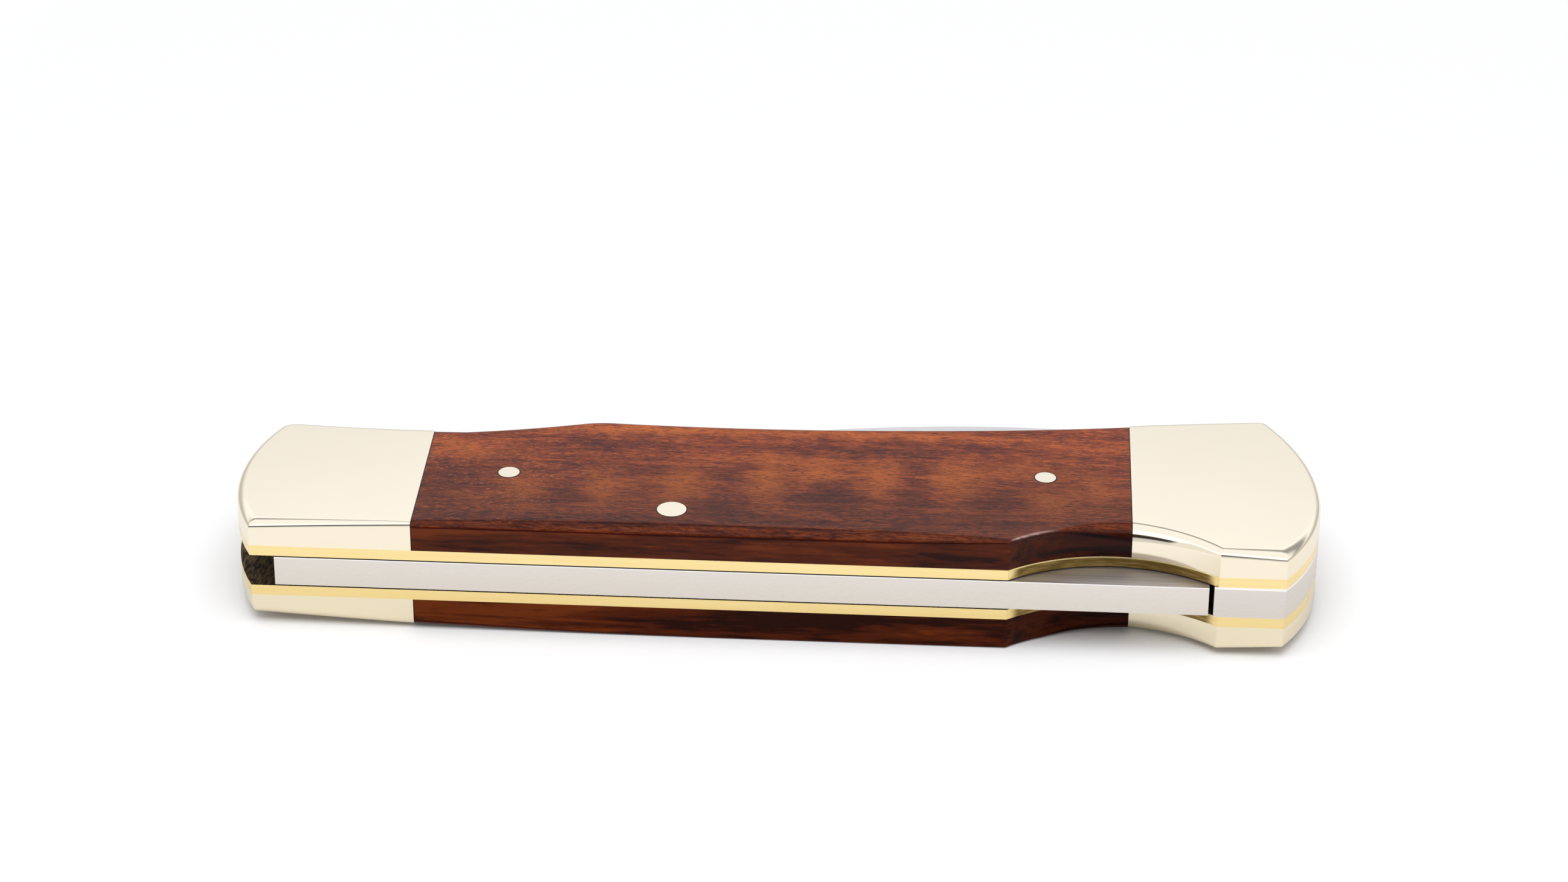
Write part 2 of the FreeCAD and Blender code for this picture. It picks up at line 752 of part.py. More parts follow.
def check(nodes):
    for item in doc.Objects:
        if "Invalid" in item.State or "Error" in item.State:
            raise RuntimeError(item.Name + " failed: " + ", ".join(item.State))
    for node in nodes:
        if node.Shape.isNull() or not node.Shape.isValid() or len(node.Shape.Solids) != 1:
            raise RuntimeError(node.Label + " has no single valid solid")


nodes = build()
doc.recompute()
check(nodes)
os.makedirs("parts", exist_ok=True)
for node in nodes:
    node.Shape.exportStep("parts/" + node.Label + ".step")
    box = node.Shape.optimalBoundingBox(False)
    print("%-26s %9.1f mm3  x %.2f..%.2f  y %.2f..%.2f  z %.2f..%.2f" % (
        node.Label, node.Shape.Volume, box.XMin, box.XMax, box.YMin, box.YMax, box.ZMin, box.ZMax))
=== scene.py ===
import math
import bmesh
import bpy
import numpy as np
from mathutils import Matrix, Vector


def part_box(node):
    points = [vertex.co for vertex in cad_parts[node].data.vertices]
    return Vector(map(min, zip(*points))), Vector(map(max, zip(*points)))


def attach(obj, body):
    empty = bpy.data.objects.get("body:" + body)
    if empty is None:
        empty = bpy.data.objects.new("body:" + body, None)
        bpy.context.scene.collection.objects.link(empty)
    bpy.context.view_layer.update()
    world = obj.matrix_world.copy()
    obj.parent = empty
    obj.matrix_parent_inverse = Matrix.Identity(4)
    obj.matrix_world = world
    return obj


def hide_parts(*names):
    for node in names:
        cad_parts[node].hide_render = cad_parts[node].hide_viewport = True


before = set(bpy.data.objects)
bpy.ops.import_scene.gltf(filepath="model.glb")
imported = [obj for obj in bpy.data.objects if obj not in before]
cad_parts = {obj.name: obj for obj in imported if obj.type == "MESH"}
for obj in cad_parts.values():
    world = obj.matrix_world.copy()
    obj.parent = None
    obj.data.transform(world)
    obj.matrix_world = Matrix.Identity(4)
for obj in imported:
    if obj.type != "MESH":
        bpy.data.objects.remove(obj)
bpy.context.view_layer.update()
mm = 0.001                      # lengths are millimetres until a mesh is written
print("frame loaded:", len(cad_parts), "nodes")


# Short ways to build node trees

def newMaterial(name, metallic=0.0):
    material = bpy.data.materials.new(name)
    material.use_nodes = True
    tree = material.node_tree
    tree.nodes.clear()
    shader = tree.nodes.new("ShaderNodeBsdfPrincipled")
    shader.inputs["Metallic"].default_value = metallic
    output = tree.nodes.new("ShaderNodeOutputMaterial")
    tree.links.new(shader.outputs["BSDF"], output.inputs["Surface"])
    return material, tree, shader


def feed(tree, socket, value):
    if isinstance(value, bpy.types.NodeSocket):
        tree.links.new(value, socket)
    else:
        socket.default_value = value


def addNode(tree, kind, inputs=None, **settings):
    node = tree.nodes.new("ShaderNode" + kind)
    for name, value in settings.items():
        setattr(node, name, value)
    for name, value in (inputs or {}).items():
        feed(tree, node.inputs[name], value)
    return node


def calc(tree, operation, first, second=0.0, third=0.0):
    node = addNode(tree, "Math", {0: first, 1: second, 2: third}, operation=operation)
    return node.outputs[0]


def product(tree, first, *others):
    for other in others:
        first = calc(tree, "MULTIPLY", first, other)
    return first


def fade(tree, value, low, high, start=0.0, end=1.0):
    inputs = {0: value, 1: low, 2: high, 3: start, 4: end}
    return addNode(tree, "MapRange", inputs, interpolation_type="SMOOTHSTEP").outputs[0]


def window(tree, value, start, full, late, end):
    # 1 from full to late, fading to 0 at start and end
    return product(tree, fade(tree, value, start, full), fade(tree, value, late, end, 1.0, 0.0))


def blend(tree, factor, first, second, how="MIX"):
    node = addNode(tree, "Mix", data_type="RGBA", blend_type=how)
    for place, value in ((0, factor), (6, first), (7, second)):
        feed(tree, node.inputs[place], value)
    return node.outputs[2]


def tinted(colour, share):
    return tuple(share * part for part in colour[:3]) + (1.0,)


def objectPlace(tree, stretch=(1.0, 1.0, 1.0), shift=(0.0, 0.0, 0.0), turn=0.0):
    # object coordinates in millimetres, turned about Z, then times stretch
    coords = addNode(tree, "TexCoord").outputs["Object"]
    if turn:
        coords = addNode(tree, "Mapping", {"Vector": coords, "Rotation": (0.0, 0.0, turn)}).outputs[0]
    scale = tuple(part / mm for part in stretch)
    return addNode(tree, "Mapping", {"Vector": coords, "Scale": scale, "Location": shift}).outputs[0]


def placeAxes(tree):
    # X, Y and Z in millimetres
    return addNode(tree, "SeparateXYZ", {0: objectPlace(tree)}).outputs


def lying(tree):
    # 1 on faces that look up or down in the piece's own frame, 0 on upright ones
    normal = addNode(tree, "SeparateXYZ", {0: addNode(tree, "TexCoord").outputs["Normal"]})
    return calc(tree, "ABSOLUTE", normal.outputs[2])


def grainNoise(tree, stretch, detail=3.0, rough=0.55, warp=0.0, shift=(0.0, 0.0, 0.0), turn=0.0):
    # noise whose grain runs along the axes with the small stretch
    inputs = {"Vector": objectPlace(tree, stretch, shift, turn), "Scale": 1.0,
              "Detail": detail, "Roughness": rough, "Distortion": warp}
    return addNode(tree, "TexNoise", inputs).outputs["Fac"]


def bump(tree, shader, height, strength, distance):
    node = addNode(tree, "Bump", {"Height": height, "Strength": strength, "Distance": distance * mm})
    tree.links.new(node.outputs[0], shader.inputs["Normal"])


# Where the handle's layers and stations lie, from the frame

def nodeBox(name):
    return (np.array(corner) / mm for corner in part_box(name))


linerLow, linerHigh = nodeBox("upper_liner")
scaleLow, scaleHigh = nodeBox("upper_scale")
bladeLow, bladeHigh = nodeBox("blade")
rearEnd, frontEnd = linerHigh[0], -linerHigh[0]
spineY = linerLow[1]
frontJoint, rearJoint = scaleLow[0], scaleHigh[0]
linerTop, crownTop = scaleLow[2], scaleHigh[2]
middleLevel = (bladeLow[2] + bladeHigh[2]) / 2

# Materials: a grain is its stretch along X, Y and Z, then detail, roughness, warp and shift; a span is
# where an effect starts and where it is full; a bump is its strength and its height in millimetres

# depths below the spine where the notch's shade fades out, and how soft it is at the notch's ends
notchShade = {"floor": (4.5, 6.0), "endBlend": 0.4}


def inThumbNotch(tree, place, start, full):
    # 1 on walls of the thumb notch: between its ends and from start to full millimetres below the spine
    depth = calc(tree, "SUBTRACT", place[1], float(spineY))
    below = window(tree, depth, start, full, *notchShade["floor"])
    aside = calc(tree, "ABSOLUTE", calc(tree, "SUBTRACT", place[0], float(notchX)))
    half = handleForm["notchLength"] / 2
    return product(tree, below, fade(tree, aside, half - notchShade["endBlend"], half, 1.0, 0.0))


nickelLook = {
    "colour": (0.940, 0.850, 0.670, 1.0), "cloudTone": 0.98, "roughness": 0.08, "haze": 0.04,
    "polish": ((0.25, 1.6, 1.6), 4.0), "cloud": ((0.11, 0.11, 0.11), 2.0), "bump": (0.04, 0.010),
    # share of the pins' darker copy of the nickel: painted shade
    "pinShade": 0.95,
}


def nickelSilver(name, share):
    # polish lines and a faint cloud of tone
    material, tree, shader = newMaterial(name, 1.0)
    polish, cloud = (grainNoise(tree, *nickelLook[key]) for key in ("polish", "cloud"))
    bright = tinted(nickelLook["colour"], share)
    dull = tinted(bright, nickelLook["cloudTone"])
    feed(tree, shader.inputs["Base Color"], blend(tree, cloud, bright, dull))
    rough = calc(tree, "MULTIPLY_ADD", polish, nickelLook["haze"], nickelLook["roughness"])
    feed(tree, shader.inputs["Roughness"], rough)
    bump(tree, shader, polish, *nickelLook["bump"])
    return material


brassLook = {
    "edge": (0.99, 0.84, 0.42, 1.0), "wearAndGlint": (0.94, 0.67, 0.28, 1.0),
    # notch: painted shade of the thumb notch, dark olive; rub: lighter rubbed patches in it
    "notch": (0.20, 0.135, 0.038, 1.0), "rub": (0.36, 0.26, 0.09, 1.0),
    "face": (0.24, 0.16, 0.07, 1.0), "stain": (0.018, 0.013, 0.010, 1.0),
    "drawn": ((0.05, 2.4, 2.4),), "streaks": ((3.4, 0.9, 2.4), 5.0, 0.65),
    "rubbed": ((0.45, 0.45, 3.5), 4.0, 0.6),
    "flatSpan": (0.4, 0.8), "notchSpan": (0.15, 0.9), "rubSpan": (0.42, 0.68), "stainSpan": (0.36, 0.62),
    # span of a painted highlight along the liner's upper edge in the notch
    "highlightSpan": (0.20, 0.08),                            # below the liner's outer side
    "roughness": 0.20, "faceHaze": 0.35, "bump": (0.06, 0.02),
}


def linerBrass():
    # bright along the spine; darker by painted shade and rubbed in the thumb notch, with a painted highlight
    # along its upper edge; dull and streaked on the flat faces
    material, tree, shader = newMaterial("linerBrass", 1.0)
    drawn, streaks, rubbed = (grainNoise(tree, *brassLook[key]) for key in ("drawn", "streaks", "rubbed"))
    flat = fade(tree, lying(tree), *brassLook["flatSpan"])
    place = placeAxes(tree)
    edge = blend(tree, drawn, brassLook["edge"], brassLook["wearAndGlint"])
    # painted shade in the thumb notch: dark olive brass with lighter rubbed patches
    hollow = blend(tree, fade(tree, rubbed, *brassLook["rubSpan"]), brassLook["notch"], brassLook["rub"])
    highlightStart, highlightFull = (float(linerTop - below) for below in brassLook["highlightSpan"])
    # painted highlight: a bright line of edge brass along the liner's upper edge in the notch
    hollow = blend(tree, fade(tree, place[2], highlightStart, highlightFull), hollow, brassLook["edge"])
    edge = blend(tree, inThumbNotch(tree, place, *brassLook["notchSpan"]), edge, hollow)
    face = blend(tree, fade(tree, streaks, *brassLook["stainSpan"]), brassLook["face"], brassLook["stain"])
    feed(tree, shader.inputs["Base Color"], blend(tree, flat, edge, face))
    rough = calc(tree, "MULTIPLY_ADD", flat, brassLook["faceHaze"], brassLook["roughness"])
    feed(tree, shader.inputs["Roughness"], rough)
    bump(tree, shader, drawn, *brassLook["bump"])
    return material


steelLooks = {
    "bar": {"colour": (0.79, 0.738, 0.68, 1.0), "side": (0.90, 0.83, 0.77, 1.0), "roughness": 0.27,
            "stretch": (0.05, 5.0, 5.0), "contrast": 0.03},
    "spacer": {"colour": (0.76, 0.71, 0.67, 1.0), "side": (0.60, 0.54, 0.50, 1.0), "roughness": 0.27,
               "stretch": (0.012, 0.012, 5.0), "contrast": 0.05},
    "spring": {"colour": (0.33, 0.33, 0.36, 1.0), "side": None, "roughness": 0.38,
               "stretch": (0.10, 4.0, 4.0), "contrast": 0.12},
}
steelBrush = {
    "fine": (6.0, 0.7), "broad": (2.0,), "broadStretch": 0.2, "fineShare": 0.6,
    "toneSpan": (0.3, 0.7), "haze": 0.14,
    # colour and span of a painted highlight along the upper rim of bar and spacer
    "highlight": (0.98, 0.96, 0.93, 1.0), "highlightSpan": (0.16, 0.07),    # below the steel's upper side
    "sideSpan": (0.5, 0.8), "sideTone": 0.55, "sideHaze": 0.25, "bump": (0.05, 0.010),
}


def brushedSteel(name):
    # fine lines along one axis in tone and polish; bar and spacer have coarser sides and a painted highlight
    # along the upper rim
    look, brush = steelLooks[name], steelBrush
    material, tree, shader = newMaterial(name + "Steel", 1.0)
    fine = grainNoise(tree, look["stretch"], *brush["fine"])
    broad = grainNoise(tree, tuple(brush["broadStretch"] * part for part in look["stretch"]), *brush["broad"])
    mixed = calc(tree, "MULTIPLY_ADD", fine, brush["fineShare"], product(tree, broad, 1 - brush["fineShare"]))
    tone = fade(tree, mixed, *brush["toneSpan"])
    face = blend(tree, tone, tinted(look["colour"], 1 - look["contrast"]), look["colour"])
    rough = calc(tree, "MULTIPLY_ADD", fine, brush["haze"], look["roughness"] - brush["haze"] / 2)
    if look["side"]:
        flat = fade(tree, lying(tree), *brush["sideSpan"])
        highlightStart, highlightFull = (float(bladeHigh[2] - below) for below in brush["highlightSpan"])
        # painted highlight along the upper rim
        face = blend(tree, fade(tree, placeAxes(tree)[2], highlightStart, highlightFull), face, brush["highlight"])
        side = blend(tree, tone, tinted(look["side"], brush["sideTone"]), look["side"])
        face = blend(tree, flat, face, side)
        rough = calc(tree, "MULTIPLY_ADD", flat, brush["sideHaze"], rough)
    feed(tree, shader.inputs["Base Color"], face)
    feed(tree, shader.inputs["Roughness"], rough)
    bump(tree, shader, fine, *brush["bump"])
    return material


bladeLook = {
    "flat": (0.80, 0.785, 0.755, 1.0), "ground": (0.62, 0.61, 0.595, 1.0), "contrast": 0.12,
    "along": ((0.06, 3.2, 3.2), 5.0, 0.65), "across": ((2.6, 0.06, 2.6), 5.0, 0.65), "toneSpan": (0.3, 0.7),
    "lean": 11.0,                                       # degrees that the closed blade leans in the handle
    "flatSpan": (0.9975, 0.9995), "roughness": 0.20, "groundHaze": 0.06, "bump": (0.05, 0.010),
}


def bladeSteel():
    # flats brushed along the blade, the hollow ground across it and darker
    material, tree, shader = newMaterial("bladeSteel", 1.0)
    turn = -math.radians(bladeLook["lean"])
    along, across = (grainNoise(tree, *bladeLook[key], turn=turn) for key in ("along", "across"))
    ground = fade(tree, lying(tree), *bladeLook["flatSpan"], 1.0, 0.0)
    tones = []
    for key, lines in (("flat", along), ("ground", across)):
        dim = tinted(bladeLook[key], 1 - bladeLook["contrast"])
        tones.append(blend(tree, fade(tree, lines, *bladeLook["toneSpan"]), dim, bladeLook[key]))
    feed(tree, shader.inputs["Base Color"], blend(tree, ground, *tones))
    rough = calc(tree, "MULTIPLY_ADD", ground, bladeLook["groundHaze"], bladeLook["roughness"])
    feed(tree, shader.inputs["Roughness"], rough)
    lines = addNode(tree, "MapRange", {0: ground, 3: along, 4: across}).outputs[0]
    bump(tree, shader, lines, *bladeLook["bump"])
    return material


woodLook = {
    "deep": (0.036, 0.006, 0.004, 1.0), "body": (0.138, 0.025, 0.007, 1.0),
    "light": (0.270, 0.058, 0.013, 1.0), "figure": (0.355, 0.088, 0.013, 1.0),
    "fleck": (0.420, 0.150, 0.075, 1.0), "wearAndGlint": (0.560, 0.380, 0.340, 1.0),
    # these four are multiplied in: painted shade on walls, painted dark reflections at the crease and above
    # it, and painted shade in the thumb notch
    "wallShade": (0.76, 0.66, 0.38, 1.0), "creaseReflection": (0.30, 0.04, 0.02, 1.0),
    "browReflection": (0.66, 0.55, 0.48, 1.0), "notch": (0.42, 0.34, 0.26, 1.0),
    "grainShares": (0.26, 0.30, 0.44, 0.04),            # bands, streaks, fibres, figure
    "figureShares": (0.74, -0.72),                      # of lighter and of darker spots
    "edgeTones": (0.68, 1.55),                          # at the spine and at the belly
    "roughness": 0.09, "haze": 0.16, "upperGloss": 0.115, "lowerGloss": 0.06, "bump": (0.06, 0.02),
    "ringWidth": 0.16, "ringInner": 0.5, "jointInner": 0.3, "ringTone": (0.010, 0.004, 0.003, 1.0),
}
woodGrain = {
    "bands": ((0.040, 0.50, 0.50), 3.0, 0.55, 0.5),
    "streaks": ((0.22, 1.8, 1.8), 4.0, 0.60, 0.2, (3.1, 7.7, 1.3)),
    "fibres": ((0.90, 5.0, 5.0), 3.0, 0.65, 0.0, (9.4, 2.2, 5.9)),
    "pores": ((1.3, 7.5, 7.5), 1.0, 0.5, 0.0, (6.3, 3.9, 0.4)),
    "flecks": ((1.6, 6.5, 6.5), 1.0, 0.5, 0.0, (1.7, 4.1, 8.8)),
    "patches": ((0.10, 0.16, 0.16), 2.0, 0.55, 0.0, (5.0, 1.0, 2.0)),
}
# spans, with the shares at both ends where these aren't 0 and 1; crease and brow: start, full, late and end
woodSpans = {
    "body": (0.39, 0.50), "light": (0.49, 0.60), "wall": (0.30, 0.70, 1.0, 0.0),
    "pores": (0.56, 0.66), "poreSlope": (0.30, 0.95, 0.15, 0.75),
    "flecks": (0.63, 0.72), "fleckPatches": (0.36, 0.56, 0.20, 0.90), "fleckSlope": (0.90, 0.99),
    "fleckStations": (-30.0, -14.0, 1.0, 0.25),
    "notchDepth": (0.1, 0.8), "notchLean": (0.55, 0.99, 1.0, 0.0),
    "creaseReflection": (0.10, 0.26, 0.40, 0.56), "browReflection": (0.955, 0.985, 0.990, 0.998), "wearAndGlint": (0.35, 0.60, 0.5, 1.0),
}


def scaleWood(side):
    # grain along the handle in three finenesses, orange figure, dark and pale pores; walls plainer in grain,
    # with painted shade deepening their colour; painted dark reflection lines beside the rounding; painted
    # shade in the thumb notch; a painted highlight on the notch's crease; dark hairlines at joints and round
    # pins
    look, spans = woodLook, woodSpans
    material, tree, shader = newMaterial(side + "ScaleWood")
    grain = {name: grainNoise(tree, *values) for name, values in woodGrain.items()}
    figure = addNode(tree, "Attribute", attribute_name="figure").outputs["Fac"]
    wearAndGlint = addNode(tree, "Attribute", attribute_name="wearAndGlint").outputs["Fac"]
    place = placeAxes(tree)
    slope = lying(tree)
    wall = fade(tree, slope, *spans["wall"])
    fibres = blend(tree, wall, grain["fibres"], grain["bands"])
    tone = 0.0
    for part, share in zip((grain["bands"], grain["streaks"], fibres, figure), look["grainShares"]):
        tone = calc(tree, "MULTIPLY_ADD", part, share, tone)
    colour = blend(tree, fade(tree, tone, *spans["body"]), look["deep"], look["body"])
    colour = blend(tree, fade(tree, tone, *spans["light"]), colour, look["light"])
    for limit, share, key in zip(("MAXIMUM", "MINIMUM"), look["figureShares"], ("figure", "deep")):
        colour = blend(tree, product(tree, calc(tree, limit, figure), share), colour, look[key])
    pores = product(tree, fade(tree, grain["pores"], *spans["pores"]), fade(tree, slope, *spans["poreSlope"]))
    colour = blend(tree, pores, colour, look["deep"])
    flecks = product(tree, fade(tree, grain["flecks"], *spans["flecks"]),
                     fade(tree, grain["patches"], *spans["fleckPatches"]),
                     fade(tree, slope, *spans["fleckSlope"]), fade(tree, place[0], *spans["fleckStations"]))
    colour = blend(tree, flecks, colour, look["fleck"])
    across = fade(tree, place[1], float(scaleLow[1]), float(scaleHigh[1]), *look["edgeTones"])
    grey = addNode(tree, "CombineColor", {0: across, 1: across, 2: across}).outputs[0]
    colour = blend(tree, 1.0, colour, grey, "MULTIPLY")
    # painted shade in the thumb notch: mask of its walls, on upright faces only
    inNotch = inThumbNotch(tree, place, *spans["notchDepth"])
    inNotch = product(tree, fade(tree, slope, *spans["notchLean"]), inNotch)
    # painted reflection: dark lines near the foot and the top of the spine's rounding, standing in for the
    # mirrored dark card
    creaseReflection, browReflection = (window(tree, slope, *spans[key]) for key in ("creaseReflection", "browReflection"))
    # painted shade on the walls and in the notch, painted dark reflections at the crease and above it
    for share, key in ((wall, "wallShade"), (inNotch, "notch"), (creaseReflection, "creaseReflection"), (browReflection, "browReflection")):
        colour = blend(tree, share, colour, look[key], "MULTIPLY")
    # painted highlight on the notch's crisp crease, a pale glint broken by the fibres
    wearAndGlint = product(tree, wearAndGlint, fade(tree, grain["fibres"], *spans["wearAndGlint"]))
    colour = blend(tree, wearAndGlint, colour, look["wearAndGlint"])
    colour = blend(tree, jointAndPinShade(tree, place), colour, look["ringTone"])
    feed(tree, shader.inputs["Base Color"], colour)
    rough = calc(tree, "MULTIPLY_ADD", grain["fibres"], look["haze"], look["roughness"])
    feed(tree, shader.inputs["Roughness"], rough)
    shader.inputs["Specular IOR Level"].default_value = look[side + "Gloss"]
    bump(tree, shader, calc(tree, "ADD", grain["fibres"], grain["flecks"]), *look["bump"])
    return material


def jointAndPinShade(tree, place):
    # 1 in the hairlines at the two joints and round the three pins
    width = woodLook["ringWidth"]
    half, centreX = (rearJoint - frontJoint) / 2, (rearJoint + frontJoint) / 2
    offMiddle = calc(tree, "ABSOLUTE", calc(tree, "SUBTRACT", place[0], float(centreX)))
    dark = fade(tree, offMiddle, float(half - width), float(half - woodLook["jointInner"] * width))
    for pinName in ("upper_front_scale_pin", "upper_rear_scale_pin", "lock_bar_pin"):
        low, high = nodeBox(pinName)
        centre, radius = (low + high) / 2, float(high[0] - low[0]) / 2
        right = calc(tree, "SUBTRACT", place[0], float(centre[0]))
        up = calc(tree, "SUBTRACT", place[1], float(centre[1]))
        apart = calc(tree, "SQRT", calc(tree, "MULTIPLY_ADD", right, right, product(tree, up, up)))
        ring = fade(tree, apart, radius + woodLook["ringInner"] * width, radius + width, 1.0, 0.0)
        dark = calc(tree, "MAXIMUM", dark, ring)
    return dark


# The handle's plan: X along the handle, depth from the spine to the belly

handleForm = {
    "frontEndBow": 3.0, "frontEndLean": 0.7, "frontDepth": 22.95,
    "turnShares": (0.046, 0.212, 0.2625, 0.675, 1.039),     # valley, hump front, hump back, waist, flare
    "turnDepths": (21.2, 23.65, 23.95, 24.35, 28.0),
    "bows": (-0.42, -0.25, 0.16, -0.44, -0.57),
    "buttDepth": 30.2, "buttBellySet": 5.39, "buttCrestDepth": 13.0, "buttSpineSet": 4.09,
    "frontCorner": 2.0, "buttCorner": 1.0,
    "swellLength": 44.0, "swellDrop": 1.05,
    "notchLead": 1.95, "notchDepth": 3.7, "notchLength": 22.5,
    "edgeRadius": 0.55, "noseFall": 2, "buttFall": 5,       # powers by which the spine's rounding fades
    "landHeight": 0.75, "landBreadths": (1.4, 2.2),         # breadth over height at notch and corner
    "notchStations": (0.0, 0.5, 1.0),                       # from the land to the joint
    "notchHeights": (0.75, 1.4, 1.85), "notchBreadths": (1.4, 1.12, 1.0), "broadenFrom": 0.7,
    "bolsterProud": 0.02, "scaleShy": 0.03,                 # bolsters cover their rivets, pins stand proud
    "insetBlend": 3.0, "weld": 1e-4, "sharpAngle": 32.0,
}

# points along each stretch of the outline, across the handle and round the edge
gridCounts = {
    "path": 400, "corner": 40, "across": 72, "rounding": 14, "front": 90,
    "rearLand": 40, "rearNotch": 81, "scaleNotch": 120, "scaleSpine": 241,
}

# roundings along the spine: heights at shares of the way from the notch corner to the front joint, from
# the rear joint to the notch corner, and from the front joint to the nose; breadth is the wood's over height
spineEdges = {
    1: {"spineShares": (0.0, 0.06, 0.2, 0.6, 0.85, 1.0), "spineHeights": (0.30, 0.60, 0.90, 0.95, 0.80, 0.55),
        "notchShares": (0.0, 0.2, 0.325, 0.43, 0.524, 0.59, 0.7, 1.0),
        "notchHeights": (1.85, 1.58, 1.27, 0.90, 0.56, 0.28, 0.24, 0.30),
        "frontHeights": (0.52, 0.66), "frontBreadths": (1.0, 2.0), "breadth": 1.7},
    -1: {"spineShares": (0.0, 0.5, 0.7, 0.9, 1.0), "spineHeights": (0.20, 0.20, 0.40, 0.80, 0.90),
         "notchShares": (0.0, 0.4, 0.7, 1.0), "notchHeights": (1.6, 1.0, 0.3, 0.20),
         "frontHeights": (0.90, 1.50), "frontBreadths": (1.0, 1.0), "breadth": 1.2},
}

notchX = rearJoint - handleForm["notchLead"]
notchStart = notchX - handleForm["notchLength"] / 2
notchEnd = notchX + handleForm["notchLength"] / 2
notchDepth = handleForm["notchDepth"]
notchRadius = (handleForm["notchLength"] ** 2 / 4 + notchDepth ** 2) / (2 * notchDepth)
landEnd = rearEnd - handleForm["buttSpineSet"]
noseX = frontEnd + handleForm["frontEndBow"]
noseSpine = noseX - handleForm["frontEndLean"] / 2
noseBelly = noseX + handleForm["frontEndLean"] / 2


def arc(start, end, bow, count):
    # circle arc whose middle stands off the chord by bow, to the left of the way from start to end
    start, end = np.array(start, float), np.array(end, float)
    chord = end - start
    length = np.hypot(*chord)
    along = chord / length
    left = np.array((-along[1], along[0]))
    radius = (length ** 2 / 4 + bow ** 2) / (2 * abs(bow))
    half = math.asin(length / 2 / radius)
    angle = np.linspace(-half, half, count)[:, None]
    rise = (np.cos(angle) - math.cos(half)) * radius * np.sign(bow)
    return (start + end) / 2 + np.sin(angle) * radius * along + rise * left


def line(start, end, count):
    # straight way from start to end in even steps
    return np.array(start) + np.linspace(0, 1, count)[:, None] * (np.array(end) - np.array(start))


def bowOf(run, rise):
    # bow of the arc that sets off along the run and ends run further and rise aside
    radius = (run ** 2 + rise ** 2) / (2 * rise)
    return radius - math.sqrt(radius ** 2 - (run ** 2 + rise ** 2) / 4)


def lengthsAlong(points):
    # distance along a path from its first point to each
    return np.concatenate(([0.0], np.cumsum(np.hypot(*np.diff(points, axis=0).T))))


def cutPath(points, start, end, count):
    # the stretch of a path between two distances along it, evenly resampled
    travel = lengthsAlong(points)
    wanted = np.linspace(start, end, count)
    return np.stack([np.interp(wanted, travel, points[:, axis]) for axis in (0, 1)], axis=1)


def roundCorner(first, second, radius, count):
    # trims two paths that meet and joins them with an arc
    before, after = first[-1] - first[-2], second[1] - second[0]
    turn = math.atan2(before[0] * after[1] - before[1] * after[0], before @ after)
    trim = radius * math.tan(abs(turn) / 2)
    first = cutPath(first, 0, lengthsAlong(first)[-1] - trim, len(first))
    second = cutPath(second, trim, lengthsAlong(second)[-1], len(second))
    bow = radius * (1 - math.cos(turn / 2)) * -np.sign(turn)
    return first, arc(first[-1], second[0], bow, count), second


def joinPath(stretches):
    return np.concatenate([stretches[0]] + [part[1:] for part in stretches[1:]])


def handlePlan():
    # the outline's stretches, clockwise from the spine's front corner
    form, count, cornerCount = handleForm, gridCounts["path"], gridCounts["corner"]
    turns = [(frontJoint + share * (rearJoint - frontJoint), depth)
             for share, depth in zip(form["turnShares"], form["turnDepths"])]
    stops = [(noseBelly, form["frontDepth"])] + turns
    butt = (rearEnd - form["buttBellySet"], form["buttDepth"])
    crest = (rearEnd, form["buttCrestDepth"])
    belly = [arc(stops[number], stops[number + 1], bow, count) for number, bow in enumerate(form["bows"])]
    belly = joinPath(belly + [line(stops[-1], butt, count)])
    front = arc((noseSpine, 0), stops[0], form["frontEndBow"], count)
    lowerBow = bowOf(form["buttDepth"] - form["buttCrestDepth"], form["buttBellySet"])
    upperBow = bowOf(form["buttCrestDepth"], form["buttSpineSet"])
    lowerButt = arc(butt, crest, lowerBow, count)
    upperButt = arc(crest, (landEnd, 0), upperBow, count)
    front, frontRound, belly = roundCorner(front, belly, form["frontCorner"], cornerCount)
    belly, buttRound, lowerButt = roundCorner(belly, lowerButt, form["buttCorner"], cornerCount)
    return joinPath([front, frontRound]), belly, joinPath([buttRound, lowerButt, upperButt])


def notchArc(start, end, count):
    # the thumb notch between two stations, as depth below the spine
    x = np.linspace(start, end, count)
    drop = np.sqrt(notchRadius ** 2 - (x - notchX) ** 2)
    return np.stack((x, notchDepth - notchRadius + drop), axis=1)


def crownAt(x):
    # outer side's level: flat crown in the middle, then one long arc down to each end
    run, drop = handleForm["swellLength"], handleForm["swellDrop"]
    radius = (run ** 2 + drop ** 2) / (2 * drop)
    past = np.maximum(np.abs(x) - (rearEnd - run), 0)
    return crownTop - radius + np.sqrt(radius ** 2 - past ** 2)


def rightOf(points):
    # unit vector to the right of a path at each of its points
    way = np.gradient(points, axis=0)
    way /= np.linalg.norm(way, axis=1)[:, None]
    return np.stack((way[:, 1], -way[:, 0]), axis=1)


def insetChain(stretches, reaches):
    # moves each stretch inwards by its reach; corners are mitred and the two ends slide along their joints
    normals = [rightOf(points) for points in stretches]
    moved = []
    for number, points in enumerate(stretches):
        travel = lengthsAlong(points)
        place = points + normals[number] * reaches[number][:, None]
        for end, other in ((0, number - 1), (-1, number + 1)):
            own, reach = normals[number][end], reaches[number][end]
            if 0 <= other < len(stretches):
                there = normals[other][-1 if end == 0 else 0]
                target = (own + there) * reach / (1 + own @ there)
            else:
                target = np.array((0.0, reach / own[1]))
            apart = travel if end == 0 else travel[-1] - travel
            nearness = np.clip(1 - apart / handleForm["insetBlend"], 0, 1)[:, None]
            place = place + nearness * (target - own * reach)
        moved.append(place)
    return moved


